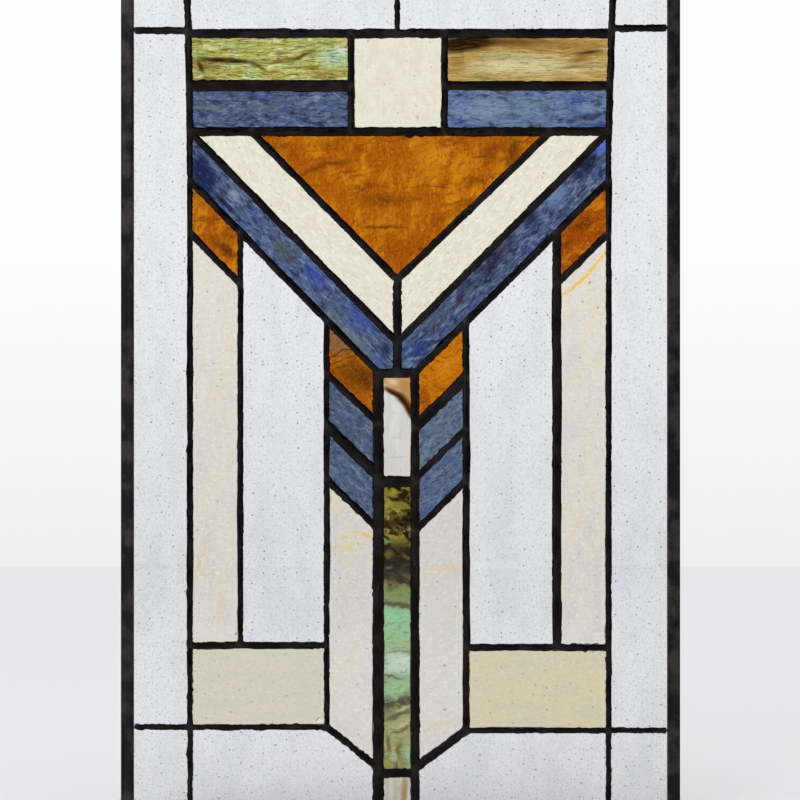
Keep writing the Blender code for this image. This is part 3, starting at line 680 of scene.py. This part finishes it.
def make_pane(name):
    """A cut pane: a fine grid trimmed to the CAD pane's sides, given its thickness and its waves."""
    slot_name = slot_of(name)
    pitch, waves = RELIEF[slot_name]
    corners = pane_corners(name)
    low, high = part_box(name)
    size = high - low
    bpy.ops.object.select_all(action="DESELECT")
    bpy.ops.mesh.primitive_grid_add(
        x_subdivisions=math.ceil(size.x / (pitch * MM)) + 2,
        y_subdivisions=math.ceil(size.z / (pitch * MM)) + 2,
        size=1.0,
        location=((low.x + high.x) / 2, 0.0, (low.z + high.z) / 2),
        rotation=(math.pi / 2, 0.0, 0.0),
        scale=(size.x + 2 * pitch * MM, size.z + 2 * pitch * MM, 1.0),
    )
    pane = bpy.context.object
    pane.name = f"{name}_glass"
    pane.data.name = pane.name
    bpy.ops.object.transform_apply(location=True, rotation=True, scale=True)
    bpy.ops.object.mode_set(mode="EDIT")
    for start, end in zip(corners, corners[1:] + corners[:1]):
        along = end - start
        bpy.ops.mesh.select_all(action="SELECT")
        bpy.ops.mesh.bisect(
            plane_co=(start.x, 0.0, start.y), plane_no=(along.y, 0.0, -along.x), clear_outer=True,
        )
    bpy.ops.object.mode_set(mode="OBJECT")
    thickness = pane.modifiers.new("thickness", "SOLIDIFY")
    thickness.thickness = 2 * GLASS_HALF * MM
    thickness.offset = 0.0
    bpy.ops.object.modifier_apply(modifier=thickness.name)
    for vertex in pane.data.vertices:
        side = math.copysign(1.0, vertex.co.y)
        dip = 0.0
        for depth, width in waves:
            at = Vector((vertex.co.x, side * 0.1, vertex.co.z)) / (width * MM)
            dip += depth * (0.5 + 0.5 * noise.noise(at))
        vertex.co.y -= side * dip * MM
    bpy.ops.object.shade_smooth_by_angle(angle=math.radians(35))
    pane.data.materials.clear()
    look = LOOKS.get(name, SHARED_LOOKS[slot_name])
    pane.data.materials.append(glass_material(f"{name}_{slot_name}", look))
    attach(pane, "root")
    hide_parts(name)


def worked_copy(node_name, piece_name):
    """A merged copy of a CAD node's mesh, as an object of its own."""
    made = bpy.data.objects.new(piece_name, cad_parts[node_name].data.copy())
    made.data.name = piece_name
    bpy.context.scene.collection.objects.link(made)
    bpy.ops.object.select_all(action="DESELECT")
    made.select_set(True)
    bpy.context.view_layer.objects.active = made
    bpy.ops.object.mode_set(mode="EDIT")
    bpy.ops.mesh.select_all(action="SELECT")
    bpy.ops.mesh.remove_doubles(threshold=0.01 * MM)
    bpy.ops.object.mode_set(mode="OBJECT")
    return made


def select_edges(made, chosen):
    """Selects the mesh's edges for which chosen(start, end) is true, and says if there are any."""
    mesh = made.data
    for part in (mesh.vertices, mesh.polygons):
        part.foreach_set("select", [False] * len(part))
    picked = [chosen(*(mesh.vertices[i].co for i in edge.vertices)) for edge in mesh.edges]
    mesh.edges.foreach_set("select", picked)
    return any(picked)


def divide_edges(made, chosen):
    """Halves the mesh's edges until chosen(start, end) is true for none of them."""
    while select_edges(made, chosen):
        bpy.ops.object.mode_set(mode="EDIT")
        bpy.ops.mesh.select_mode(type="EDGE")
        bpy.ops.mesh.subdivide(number_cuts=1)
        bpy.ops.object.mode_set(mode="OBJECT")


def make_cames():
    """The soldered network of cames, hand worked: uneven lips, worn faces and a puddle at each joint."""
    cames = worked_copy("lead_matrix", "cames")
    crowns = {
        (round(v.co.x / MM, 2), round(v.co.z / MM, 2)) for v in cames.data.vertices
        if abs(v.co.y) > (CROWN_DEPTH - 0.02) * MM
    }
    joints = kdtree.KDTree(len(crowns))
    for number, (x, z) in enumerate(sorted(crowns)):
        joints.insert((x, 0.0, z), number)
    joints.balance()

    def joint_near(point):
        return joints.find((point.x / MM, 0.0, point.z / MM))

    divide_edges(cames, lambda start, end: (end - start).length > CAME_PITCH * MM)
    divide_edges(cames, lambda start, end: (
        (end - start).length > JOINT_PITCH * MM and joint_near((start + end) / 2)[2] < JOINT_REACH
    ))
    # noise_vector works from this seed, so that the cames come out the same each time
    noise.seed_set(7)
    mesh = cames.data
    lip_highlight_share = mesh.attributes.new("lip_highlight", "FLOAT", "POINT")
    solder_share = mesh.attributes.new("solder", "FLOAT", "POINT")
    for vertex in mesh.vertices:
        point = vertex.co / MM
        depth = abs(point.y)
        side = math.copysign(1.0, point.y)
        if depth < LEAF_FOOT - 0.01:
            continue
        flat = Vector((point.x, side * 40.0, point.z))
        _, number, reach = joint_near(vertex.co)
        ragged = 0.6 + 1.3 * max(0.0, noise.noise(flat / 27.0) + 0.15)
        sway = noise.noise_vector(flat / 11.0) * 0.5 + noise.noise_vector(flat / 2.9) * ragged
        puddle = PUDDLE_RADIUS + 1.2 * noise.noise(Vector((number * 7.3, side * 3.0, 0.5)))
        puddle += 0.8 * noise.noise(flat / 2.5)
        dome = HIGHEST_SOLDER - 1.05 * (reach / puddle) ** 2.2
        share = 0.0
        if depth > LEAF_FOOT + 0.1:
            worn = depth - 0.09 * (0.5 + noise.noise(flat / 6.0))
            share = min(max((dome - worn) / 0.25, 0.0), 1.0)
            depth = worn + (max(dome, worn) - worn) * share
            # The lip slopes below the crown carry the painted brownish edge highlight, less where solder
            # covers them
            lip_highlight = min(max((CROWN_DEPTH - abs(point.y)) / 0.7, 0.0), 1.0)
            lip_highlight_share.data[vertex.index].value = lip_highlight * (1 - share)
        solder_share.data[vertex.index].value = share
        vertex.co = Vector((point.x + sway.x, side * depth, point.z + sway.z)) * MM
    for part in (mesh.edges, mesh.polygons):
        part.foreach_set("select", [False] * len(part))
    mesh.vertices.foreach_set("select", [
        abs(v.co.y) > (LEAF_FOOT - 0.05) * MM and joint_near(v.co)[2] < 5.5 for v in mesh.vertices
    ])
    bpy.ops.object.mode_set(mode="EDIT")
    bpy.ops.mesh.select_mode(type="VERT")
    bpy.ops.mesh.vertices_smooth(factor=0.5, repeat=3)
    bpy.ops.object.mode_set(mode="OBJECT")
    # The flat walls inside the came give up the points that they don't need, and the worn faces keep theirs
    thinned = cames.modifiers.new("thinned", "DECIMATE")
    thinned.ratio = CAME_TRIANGLES / sum(len(polygon.vertices) - 2 for polygon in mesh.polygons)
    bpy.ops.object.modifier_apply(modifier=thinned.name)
    bpy.ops.object.shade_smooth_by_angle(angle=math.radians(50))
    mesh = cames.data
    mesh.materials.clear()
    # The last tint is that of the painted brownish highlight on the lips
    mesh.materials.append(lead_material("patinated_lead_came", "282526", "121113", "261C1A"))
    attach(cames, "root")
    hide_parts("lead_matrix")


def make_border():
    """The border came, which is the same lead and is rubbed greyer, as it is handled most."""
    # The last tint is that of the painted brownish highlight on the lips
    finish = lead_material("patinated_border_came", "423E3C", "242222", "3A3230")
    for side in ("left", "right", "top", "bottom"):
        node_name = f"{side}_border"
        bar = worked_copy(node_name, f"{node_name}_came")
        divide_edges(bar, lambda start, end: (end - start).length > BORDER_PITCH * MM)
        for vertex in bar.data.vertices:
            depth = abs(vertex.co.y)
            if depth > 2.0 * MM:
                worn = 0.08 * (0.5 + noise.noise(vertex.co / (7.0 * MM)))
                vertex.co.y -= math.copysign(worn * MM, vertex.co.y)
        bpy.ops.object.shade_smooth_by_angle(angle=math.radians(50))
        bar.data.materials.clear()
        bar.data.materials.append(finish)
        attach(bar, "root")
        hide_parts(node_name)


def make_room():
    """A plain pale floor in even pale light, dimmer in reflections, with one large soft light in front."""
    bpy.ops.object.select_all(action="DESELECT")
    bpy.ops.mesh.primitive_plane_add(size=9.0, location=(0.0, 0.0, -0.0003))
    floor = bpy.context.object
    floor.name = "floor"
    # The floor is matt white board, which has no gloss and gives the eye only the panel's soft shadow
    material, tree = new_material("pale_floor")
    shader = add(tree, "BsdfPrincipled", {
        "Base Color": to_linear("E9E9EB"), "Roughness": 1.0, "Specular IOR Level": 0.0,
    })
    add(tree, "OutputMaterial", {"Surface": shader.outputs[0]})
    floor.data.materials.append(material)

    world = bpy.data.worlds.new("even_pale_light")
    world.use_nodes = True
    world.cycles.sampling_method = "NONE"
    tree = world.node_tree
    tree.nodes.clear()
    height = add(tree, "SeparateXYZ", {0: add(tree, "TexCoord").outputs["Generated"]}).outputs["Z"]
    level = add(
        tree, "MapRange", {
            "Value": height, "From Min": -0.05, "From Max": 0.05, "To Min": 0.86, "To Max": 0.98,
        }, interpolation_type="SMOOTHSTEP",
    ).outputs[0]
    ray = add(tree, "LightPath").outputs
    seen = ray["Is Camera Ray"]
    for other in ("Is Transmission Ray", "Is Diffuse Ray"):
        seen = add(tree, "Math", {0: seen, 1: ray[other]}, operation="MAXIMUM").outputs[0]
    share = add(tree, "MapRange", {"Value": seen, "To Min": REFLECTED_SHARE}).outputs[0]
    level = add(tree, "Math", {0: level, 1: share}, operation="MULTIPLY").outputs[0]
    light = add(tree, "Background", {"Color": to_linear("FFFFFF"), "Strength": level})
    add(tree, "OutputWorld", {"Surface": light.outputs[0]})
    bpy.context.scene.world = world

    bpy.ops.object.light_add(type="AREA", location=(-0.9, -2.2, 1.3))
    key = bpy.context.object
    key.name = "soft_key"
    key.data.shape = "SQUARE"
    key.data.size = 1.2
    key.data.energy = 15.0
    key.rotation_euler = (Vector((0.0, 0.0, 0.33)) - key.location).to_track_quat("-Z", "Y").to_euler()


def make_camera():
    bpy.ops.object.camera_add(
        location=(VIEW_CENTRE[0] * MM, -CAMERA_DISTANCE * MM, VIEW_CENTRE[1] * MM),
        rotation=(math.pi / 2, 0.0, 0.0),
    )
    camera = bpy.context.object
    camera.name = "camera"
    camera.data.sensor_width = SENSOR_WIDTH
    camera.data.lens = SENSOR_WIDTH * CAMERA_DISTANCE / VIEW_WIDTH
    bpy.context.scene.camera = camera


for pane_name in sorted(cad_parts):
    if pane_name != "lead_matrix" and not pane_name.endswith("_border"):
        make_pane(pane_name)
make_cames()
make_border()
make_room()
make_camera()
bpy.context.scene.view_settings.view_transform = "Standard"
